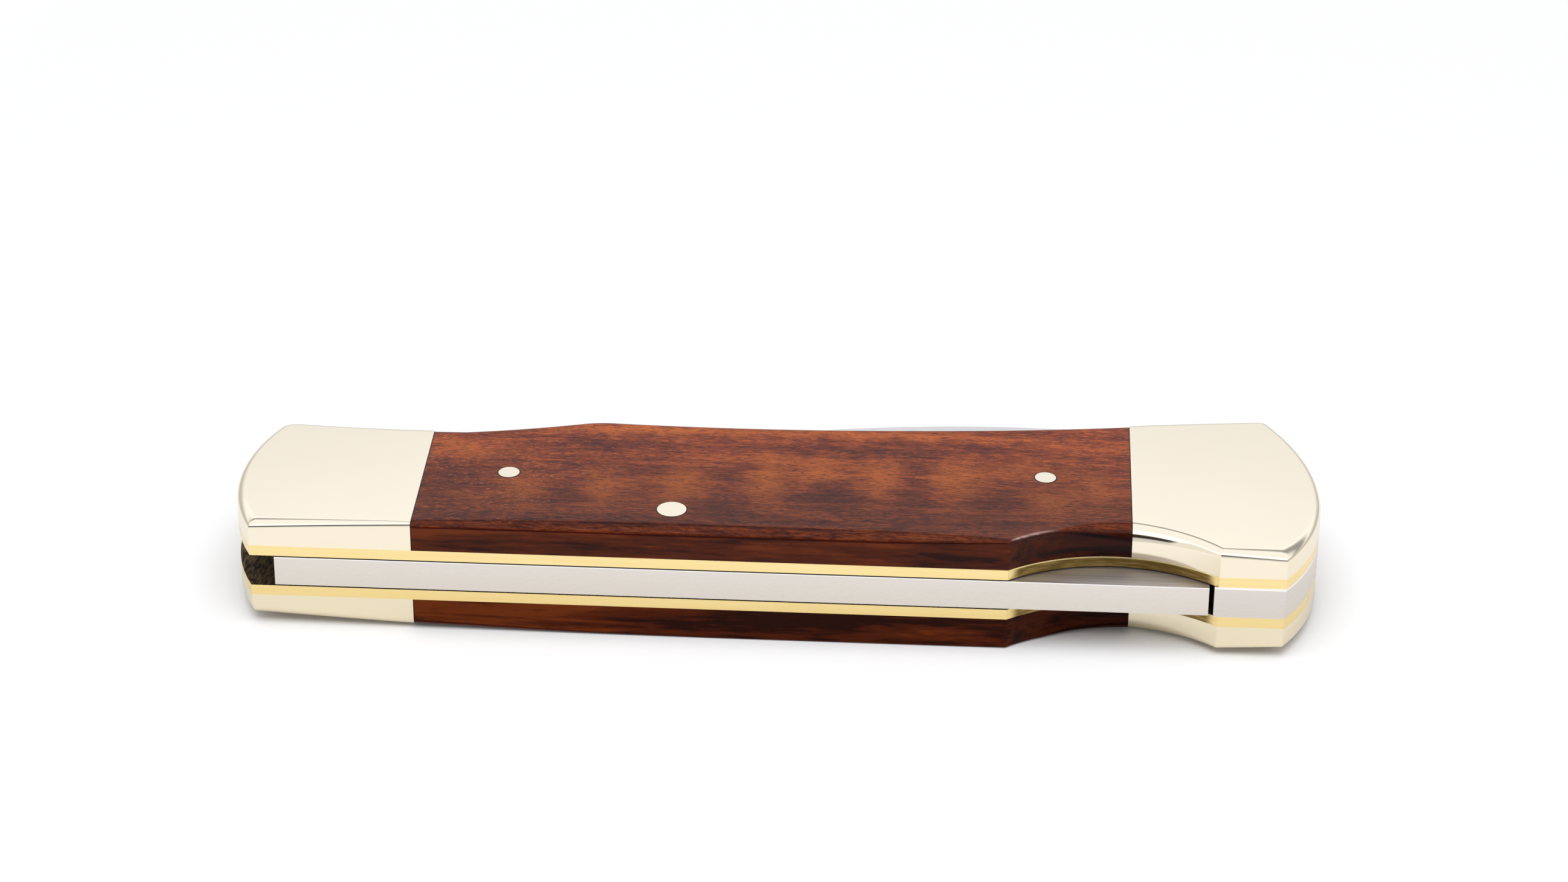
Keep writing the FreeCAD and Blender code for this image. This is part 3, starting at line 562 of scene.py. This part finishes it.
def patch(spine, belly, front, rear):
    # Coons patch: the four sides blended into a grid, rows along the handle, columns from spine to belly
    u = np.linspace(0, 1, len(spine))[:, None, None]
    v = np.linspace(0, 1, len(front))[None, :, None]
    sides = (1 - v) * spine[:, None] + v * belly[:, None] + (1 - u) * front[None] + u * rear[None]
    corners = (1 - v) * ((1 - u) * spine[0] + u * spine[-1]) + v * ((1 - u) * belly[0] + u * belly[-1])
    return sides - corners


def gridFaces(rows, columns, first):
    # four corners of each cell of a grid whose points are numbered row by row from first
    corner = first + np.arange(rows - 1)[:, None] * columns + np.arange(columns - 1)[None]
    return np.stack((corner, corner + 1, corner + columns + 1, corner + columns), axis=-1).reshape(-1, 4)


def gridPiece(name, grids):
    # welds grids of points into one closed mesh; open loops at the joints become flat faces
    faces, first = [], 0
    for grid in grids:
        faces.append(gridFaces(*grid.shape[:2], first))
        first += grid.shape[0] * grid.shape[1]
    points = np.concatenate([grid.reshape(-1, 3) for grid in grids])
    mesh = bpy.data.meshes.new(name)
    mesh.from_pydata((points * mm).tolist(), [], np.concatenate(faces).tolist())
    work = bmesh.new()
    work.from_mesh(mesh)
    bmesh.ops.remove_doubles(work, verts=work.verts, dist=handleForm["weld"] * mm)
    bmesh.ops.holes_fill(work, edges=[edge for edge in work.edges if edge.is_boundary], sides=0)
    bmesh.ops.recalc_face_normals(work, faces=work.faces)
    work.to_mesh(mesh)
    work.free()
    mesh.polygons.foreach_set("use_smooth", np.ones(len(mesh.polygons), bool))
    mesh.set_sharp_from_angle(angle=math.radians(handleForm["sharpAngle"]))
    piece = bpy.data.objects.new(name, mesh)
    bpy.context.scene.collection.objects.link(piece)
    return piece


def outerPiece(node, chains, heights, softs, split, lift, side):
    # wall, rounding and top of a scale or bolster: the rounding is a quarter ellipse, soft times as broad as
    # high; split picks the four sides of the top and the underside from the chains
    grids = []
    for chain, height, soft in zip(chains, heights, softs):
        rise = joinPath(height)
        base = joinPath(chain)
        rows = [np.column_stack((base, np.full(len(base), linerTop)))]
        for angle in np.linspace(0, math.pi / 2, gridCounts["rounding"] + 1):
            reaches = [part * wide * (1 - math.cos(angle)) for part, wide in zip(height, soft)]
            spot = joinPath(insetChain(chain, reaches))
            rows.append(np.column_stack((spot, crownAt(spot[:, 0]) + lift - rise * (1 - math.sin(angle)))))
        grids.append(np.stack(rows))
    inner = [insetChain(chain, [part * wide for part, wide in zip(height, soft)])
             for chain, height, soft in zip(chains, heights, softs)]
    top, underside = patch(*split(inner)), patch(*split(chains))
    grids.append(np.concatenate((top, crownAt(top[..., :1]) + lift), axis=2))
    grids.append(np.concatenate((underside, np.full(underside.shape[:2] + (1,), linerTop)), axis=2))
    for grid in grids:
        grid[..., 1] += spineY
        if side < 0:
            grid[..., 2] = 2 * middleLevel - grid[..., 2]
    piece = gridPiece(node + "_skin", grids)
    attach(piece, "handle")
    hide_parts(node)
    return piece


frontPath, bellyPath, buttPath = handlePlan()
bellyTravel = lengthsAlong(bellyPath)
bellyFront, bellyRear = np.interp((frontJoint, rearJoint), bellyPath[:, 0], bellyTravel)
acrossCount = gridCounts["across"]


def frontBolster(node, side):
    # one chain of spine, nose and belly; the rounding falls from the spine's corner round the nose
    form, count = spineEdges[side], gridCounts["front"]
    chain = [line((frontJoint, 0), (noseSpine, 0), count),
             cutPath(frontPath, 0, lengthsAlong(frontPath)[-1], acrossCount),
             cutPath(bellyPath, 0, bellyFront, count)]
    edge = handleForm["edgeRadius"]
    (joint, corner), (narrow, broad) = form["frontHeights"], form["frontBreadths"]
    noseShare = np.linspace(1, 0, acrossCount) ** handleForm["noseFall"]
    heights = [np.linspace(joint, corner, count), edge + (corner - edge) * noseShare, np.full(count, edge)]
    softs = [np.linspace(narrow, broad, count), 1 + (broad - 1) * noseShare, 1]

    def split(chains):
        spine, nose, belly = chains[0]
        return spine[::-1], belly, nose, line(spine[0], belly[-1], acrossCount)

    return outerPiece(node, [chain], [heights], [softs], split, handleForm["bolsterProud"], side)


def rearBolster(node, side):
    # one chain of belly, butt, land and notch; the rounding grows up the butt and along the notch
    form, landCount, notchCount = handleForm, gridCounts["rearLand"], gridCounts["rearNotch"]
    bellyCount = landCount + notchCount - 1
    chain = [cutPath(bellyPath, bellyRear, bellyTravel[-1], bellyCount),
             cutPath(buttPath, 0, lengthsAlong(buttPath)[-1], acrossCount),
             line((landEnd, 0), (notchEnd, 0), landCount),
             notchArc(notchEnd, rearJoint, notchCount)]
    edge, land, (start, corner) = form["edgeRadius"], form["landHeight"], form["landBreadths"]
    buttShare = np.linspace(0, 1, acrossCount) ** form["buttFall"]
    notchWay = np.linspace(0, 1, notchCount)
    heights = [np.full(bellyCount, edge), edge + (land - edge) * buttShare, np.full(landCount, land),
               np.interp(notchWay, form["notchStations"], form["notchHeights"])]
    softs = [1, 1 + (corner - 1) * buttShare, np.linspace(corner, start, landCount),
             np.interp(notchWay, form["notchStations"], form["notchBreadths"])]

    def split(chains):
        belly, butt, land, notch = chains[0]
        spine = joinPath([land, notch])[::-1]
        return spine, belly, line(spine[0], belly[0], acrossCount), butt[::-1]

    return outerPiece(node, [chain], [heights], [softs], split, form["bolsterProud"], side)


def woodScale(node, side):
    # two chains between the joints, belly and spine; the rounding changes along notch and spine
    form, notchCount, spineCount = spineEdges[side], gridCounts["scaleNotch"], gridCounts["scaleSpine"]
    bellyCount = notchCount + spineCount - 1
    chains = [[cutPath(bellyPath, bellyFront, bellyRear, bellyCount)],
              [notchArc(rearJoint, notchStart, notchCount),
               line((notchStart, 0), (frontJoint, 0), spineCount)]]
    notchWay, spineWay = np.linspace(0, 1, notchCount), np.linspace(0, 1, spineCount)
    heights = [[np.full(bellyCount, handleForm["edgeRadius"])],
               [np.interp(notchWay, form["notchShares"], form["notchHeights"]),
                np.interp(spineWay, form["spineShares"], form["spineHeights"])]]
    broaden = np.interp(notchWay, (0, handleForm["broadenFrom"], 1), (1, 1, form["breadth"]))
    softs = [(form["breadth"],), (broaden, form["breadth"])]

    def split(chains):
        belly, spine = chains[0][0], joinPath(chains[1])[::-1]
        return spine, belly, line(spine[0], belly[0], acrossCount), line(spine[-1], belly[-1], acrossCount)

    piece = outerPiece(node, chains, heights, softs, split, -handleForm["scaleShy"], side)
    paintWood(piece)
    return piece


# lighter and darker places of the wood: station, depth, half length, half breadth, strength
figureSpots = (
    (-27.3, 8.2, 2.3, 3.0, 0.7), (-19.0, 9.1, 2.0, 4.2, 0.8), (-10.4, 9.7, 2.3, 3.8, 0.9),
    (-1.2, 10.9, 2.2, 4.2, 1.0), (4.5, 12.9, 2.2, 2.4, 1.0), (11.3, 12.0, 2.2, 4.0, 1.0),
    (18.9, 12.0, 2.8, 4.2, 0.9), (29.6, 9.2, 3.4, 2.4, 0.7), (35.0, 12.0, 1.8, 3.4, 0.6),
    (-35.4, 16.8, 5.0, 2.0, 0.6), (-15.0, 22.2, 9.0, 1.2, 0.8), (10.0, 22.6, 16.0, 1.0, 0.7),
    (-32.0, 6.6, 3.0, 0.8, 0.5), (2.0, 16.2, 9.0, 1.2, 0.4), (26.0, 15.5, 6.0, 1.6, 0.4),
    (-23.5, 6.6, 2.4, 2.2, -0.6), (-19.3, 18.6, 6.0, 1.1, -1.0), (-6.0, 5.6, 3.0, 2.2, -0.6),
    (5.9, 8.6, 3.4, 2.2, -0.8), (15.1, 9.0, 2.6, 3.0, -0.6), (23.5, 8.0, 3.0, 3.0, -0.5),
    (-35.0, 11.0, 2.6, 2.0, -0.5), (8.0, 18.8, 8.0, 0.9, -0.7), (24.5, 20.0, 6.0, 0.9, -0.5),
    (-5.0, 14.5, 2.0, 1.6, -0.4), (14.9, 14.0, 1.4, 2.0, -0.4),
)
# waves that make the spots uneven: height, turn per millimetre, then slant or start
figureWaves = {"along": ((0.5, 1.7, 0.3), (0.3, 3.9, 0.0)), "across": ((0.4, 0.9, 0.0), (0.25, 2.3, 1.0))}
# pale painted highlight on the notch's crisp crease, and its strength at distances from the notch's start
creaseGlint = {
    "inset": 0.22, "reach": 0.12, "height": 0.30,
    "stations": (0.1, 0.8, 2.8, 5.5), "strengths": (0.0, 1.0, 0.8, 0.0),
}


def paintWood(piece):
    # figure: sum of bells over the spots; a painted highlight: a bell across the notch's crisp crease, fading
    # along it
    count = len(piece.data.vertices)
    spots = np.empty(count * 3)
    piece.data.vertices.foreach_get("co", spots)
    x, y, z = spots.reshape(-1, 3).T / mm
    depth = y - spineY
    wavyX, wavyDepth = x, depth
    for height, turn, slant in figureWaves["along"]:
        wavyX = wavyX + height * np.sin(turn * depth + slant * x)
    for height, turn, start in figureWaves["across"]:
        wavyDepth = wavyDepth + height * np.sin(turn * x + start)
    glow = np.zeros(count)
    for place, deep, length, breadth, strength in figureSpots:
        glow += strength * np.exp(-((wavyX - place) / length) ** 2 - ((wavyDepth - deep) / breadth) ** 2)
    inside = np.hypot(x - notchX, depth - notchDepth + notchRadius) - notchRadius
    below = crownAt(x) - middleLevel - np.abs(z - middleLevel)
    offCrease = (inside - creaseGlint["inset"]) / creaseGlint["reach"]
    wearAndGlint = np.exp(-offCrease ** 2 - (below / creaseGlint["height"]) ** 2)
    wearAndGlint *= np.interp(x - notchStart, creaseGlint["stations"], creaseGlint["strengths"])
    for name, values in (("figure", np.clip(glow, -1, 1)), ("wearAndGlint", wearAndGlint)):
        piece.data.attributes.new(name, "FLOAT", "POINT").data.foreach_set("value", values)


def dress(thing, material):
    thing.data.materials.clear()
    thing.data.materials.append(material)


# the pins get a darker copy of the nickel: painted shade
nickel, pinNickel = nickelSilver("nickelSilver", 1.0), nickelSilver("pinNickel", nickelLook["pinShade"])
for sideName, side in (("upper", 1), ("lower", -1)):
    wood = scaleWood(sideName)
    for part, maker, material, slot in (("front_bolster", frontBolster, nickel, "nickel_silver"),
                                        ("scale", woodScale, wood, "scale_wood"),
                                        ("rear_bolster", rearBolster, nickel, "nickel_silver")):
        piece = maker(sideName + "_" + part, side)
        dress(piece, material)
print("outer pieces made")

nodeMaterials = {"liner": linerBrass(), "pin": pinNickel, "blade": bladeSteel(),
                 "lock_bar": brushedSteel("bar"), "rear_spacer": brushedSteel("spacer"),
                 "lock_spring": brushedSteel("spring")}
for nodeName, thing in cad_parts.items():
    for ending, material in nodeMaterials.items():
        if nodeName.endswith(ending):
            dress(thing, material)
print("finishes set")

# Stage: white floor, sky that the metal mirrors, overhead softbox, camera where the photograph was taken

floorLook = {
    "size": 6.0, "colour": (0.9, 0.9, 0.9, 1.0), "lift": 0.03,
    "shadowHalf": (50.0, 17.0), "endHaste": 3.5,        # half sides of the shaded field, haste of its ends
    "nearReach": (33.0, 83.0), "nearGlow": 0.75, "farReach": (150.0, 300.0),
    "shadeStrip": (-34.0, -22.0), "shadeColour": (0.785, 0.77, 0.725, 1.0),
}


def makeFloor():
    mesh = bpy.data.meshes.new("studioFloor")
    half = floorLook["size"] / 2
    corners = [(-half, -half, 0), (half, -half, 0), (half, half, 0), (-half, half, 0)]
    mesh.from_pydata(corners, [], [(0, 1, 2, 3)])
    floor = bpy.data.objects.new("studioFloor", mesh)
    bpy.context.scene.collection.objects.link(floor)
    material = bpy.data.materials.new("floorWhite")
    material.use_nodes = True
    tree = material.node_tree
    tree.nodes.clear()
    path = addNode(tree, "LightPath").outputs
    place = placeAxes(tree)
    # painted shadow: for glossy rays, the strip along the spine that the lower wall mirrors is darkened,
    # standing in for the knife's own shade
    strip = product(tree, fade(tree, place[1], *floorLook["shadeStrip"]), path["Is Glossy Ray"])
    tone = blend(tree, strip, floorLook["colour"], floorLook["shadeColour"])
    paper = addNode(tree, "BsdfDiffuse", {"Color": tone}).outputs[0]
    # away from the knife the paper turns into plain white; close to it the shadow stays
    past = [calc(tree, "MAXIMUM", calc(tree, "SUBTRACT", calc(tree, "ABSOLUTE", place[axis]), inner))
            for axis, inner in enumerate(floorLook["shadowHalf"])]
    past[0] = product(tree, past[0], floorLook["endHaste"])
    apart = calc(tree, "MULTIPLY_ADD", past[0], past[0], product(tree, past[1], past[1]))
    apart = calc(tree, "SQRT", apart)
    glow = fade(tree, apart, *floorLook["nearReach"], 0.0, floorLook["nearGlow"])
    glow = calc(tree, "MAXIMUM", glow, fade(tree, apart, *floorLook["farReach"]))
    seen = calc(tree, "MAXIMUM", path["Is Camera Ray"], path["Is Glossy Ray"])
    seen = calc(tree, "MAXIMUM", seen, path["Is Transmission Ray"])
    white = addNode(tree, "Emission", {"Strength": 1.0}).outputs[0]
    faint = addNode(tree, "Emission", {"Strength": floorLook["lift"]}).outputs[0]
    lifted = addNode(tree, "AddShader", {0: paper, 1: faint}).outputs[0]
    near = addNode(tree, "MixShader", {0: path["Is Camera Ray"], 1: paper, 2: lifted}).outputs[0]
    both = addNode(tree, "MixShader", {0: product(tree, seen, glow), 1: near, 2: white}).outputs[0]
    addNode(tree, "OutputMaterial", {"Surface": both})
    dress(floor, material)


skyLook = {
    # what the metal sees from the back horizon over the zenith to the front horizon: degrees and strength
    "arch": ((0, 0.55), (15, 0.66), (25, 0.80), (28.2, 0.96), (29.8, 1.15), (35, 1.15), (39, 0.35),
             (45, 0.35), (52, 1.10), (94, 1.05), (102, 1.40), (128, 1.40), (136, 0.85), (157, 0.66),
             (180, 0.78)),
    "tint": (0.985, 1.0, 1.06), "strength": 2.0, "mattShare": 0.6,
    # dark card in front that the rounded edges mirror: where it starts and ends, in degrees and across
    "card": 0.03, "cardAngles": (128.0, 133.0, 151.0, 157.0), "cardSides": (-0.56, -0.50, 0.11, 0.16),
    # shade low at the sides, from the back to beside the knife, and light in the two front corners
    "shade": 0.60, "shadeBack": (-0.45, -0.15), "shadeSides": (0.30, 0.55),
    "shadeHeights": (0.25, 0.50, 1.0, 0.0),
    "corner": 0.90, "cornerFront": (-0.40, -0.15, 1.0, 0.0), "cornerSides": (0.50, 0.58),
}


def skyGrey(level):
    # grey that the sky's strength brings to this level
    return tinted((1, 1, 1), level / skyLook["strength"])


def makeWorld():
    world = bpy.data.worlds.new("studioWorld")
    bpy.context.scene.world = world
    world.use_nodes = True
    tree = world.node_tree
    tree.nodes.clear()
    path = addNode(tree, "LightPath").outputs
    coords = addNode(tree, "TexCoord").outputs["Generated"]
    wayX, wayY, wayZ = addNode(tree, "SeparateXYZ", {0: coords}).outputs
    turn = calc(tree, "DIVIDE", calc(tree, "ARCTAN2", wayZ, wayY), math.pi)
    ramp = addNode(tree, "ValToRGB", {0: turn})
    stops = ramp.color_ramp.elements
    while len(stops) < len(skyLook["arch"]):
        stops.new(0.5)
    for stop, (degrees, level) in zip(stops, skyLook["arch"]):
        stop.position = degrees / 180
        stop.color = tinted(skyLook["tint"], level / skyLook["strength"])
    aside = calc(tree, "ABSOLUTE", wayX)
    card = product(tree, window(tree, turn, *(angle / 180 for angle in skyLook["cardAngles"])),
                   window(tree, wayX, *skyLook["cardSides"]))
    shade = product(tree, fade(tree, aside, *skyLook["shadeSides"]),
                    fade(tree, wayZ, *skyLook["shadeHeights"]), fade(tree, wayY, *skyLook["shadeBack"]))
    corner = product(tree, fade(tree, aside, *skyLook["cornerSides"]),
                     fade(tree, wayY, *skyLook["cornerFront"]))
    sky = ramp.outputs[0]
    for share, key in ((card, "card"), (shade, "shade"), (corner, "corner")):
        sky = blend(tree, share, sky, skyGrey(skyLook[key]))
    sky = blend(tree, path["Is Camera Ray"], sky, skyGrey(1.0))
    # matt surfaces get less of the sky and more of the softbox, so that shadows stay close
    strength = skyLook["strength"]
    power = fade(tree, path["Is Diffuse Ray"], 0.0, 1.0, strength, strength * skyLook["mattShare"])
    light = addNode(tree, "Background", {"Color": sky, "Strength": power})
    addNode(tree, "OutputWorld", {"Surface": light.outputs[0]})


softboxForm = {"size": 0.7, "height": 0.7, "placeY": -0.20, "power": 3.9}    # metres and watts


def makeSoftbox():
    lamp = bpy.data.lights.new("softbox", "AREA")
    lamp.shape = "SQUARE"
    lamp.size = softboxForm["size"]
    lamp.energy = softboxForm["power"]
    box = bpy.data.objects.new("softbox", lamp)
    box.location = (0.0, softboxForm["placeY"], softboxForm["height"])
    box.rotation_euler = (-math.atan2(softboxForm["placeY"], softboxForm["height"]), 0.0, 0.0)
    box.visible_glossy = False      # the metal mirrors the sky alone
    bpy.context.scene.collection.objects.link(box)


cameraView = {
    "place": (21.69, -406.46, 238.21), "lowered": 28.723, "turned": -3.011, "rolled": -0.381,
    "focalPixels": 6936.4, "imageWidth": 2576, "sensor": 36.0, "clip": (0.01, 20.0),
}


def makeCamera():
    lens = bpy.data.cameras.new("photoCamera")
    lens.sensor_width = cameraView["sensor"]
    lens.lens = cameraView["focalPixels"] * cameraView["sensor"] / cameraView["imageWidth"]
    lens.clip_start, lens.clip_end = cameraView["clip"]
    camera = bpy.data.objects.new("photoCamera", lens)
    lowered, turned, rolled = (math.radians(cameraView[key]) for key in ("lowered", "turned", "rolled"))
    level = math.cos(lowered)
    ahead = np.array((math.sin(turned) * level, math.cos(turned) * level, -math.sin(lowered)))
    flat = np.array((math.cos(turned), -math.sin(turned), 0.0))
    down = np.cross(ahead, flat)
    right = math.cos(rolled) * flat + math.sin(rolled) * down
    down = math.cos(rolled) * down - math.sin(rolled) * flat
    turn = Matrix(np.column_stack((right, -down, -ahead)).tolist()).to_4x4()
    camera.matrix_world = Matrix.Translation(np.array(cameraView["place"]) * mm) @ turn
    bpy.context.scene.collection.objects.link(camera)
    bpy.context.scene.camera = camera


makeFloor()
makeWorld()
makeSoftbox()
makeCamera()
bpy.context.scene.view_settings.view_transform = "Standard"
print("stage set")
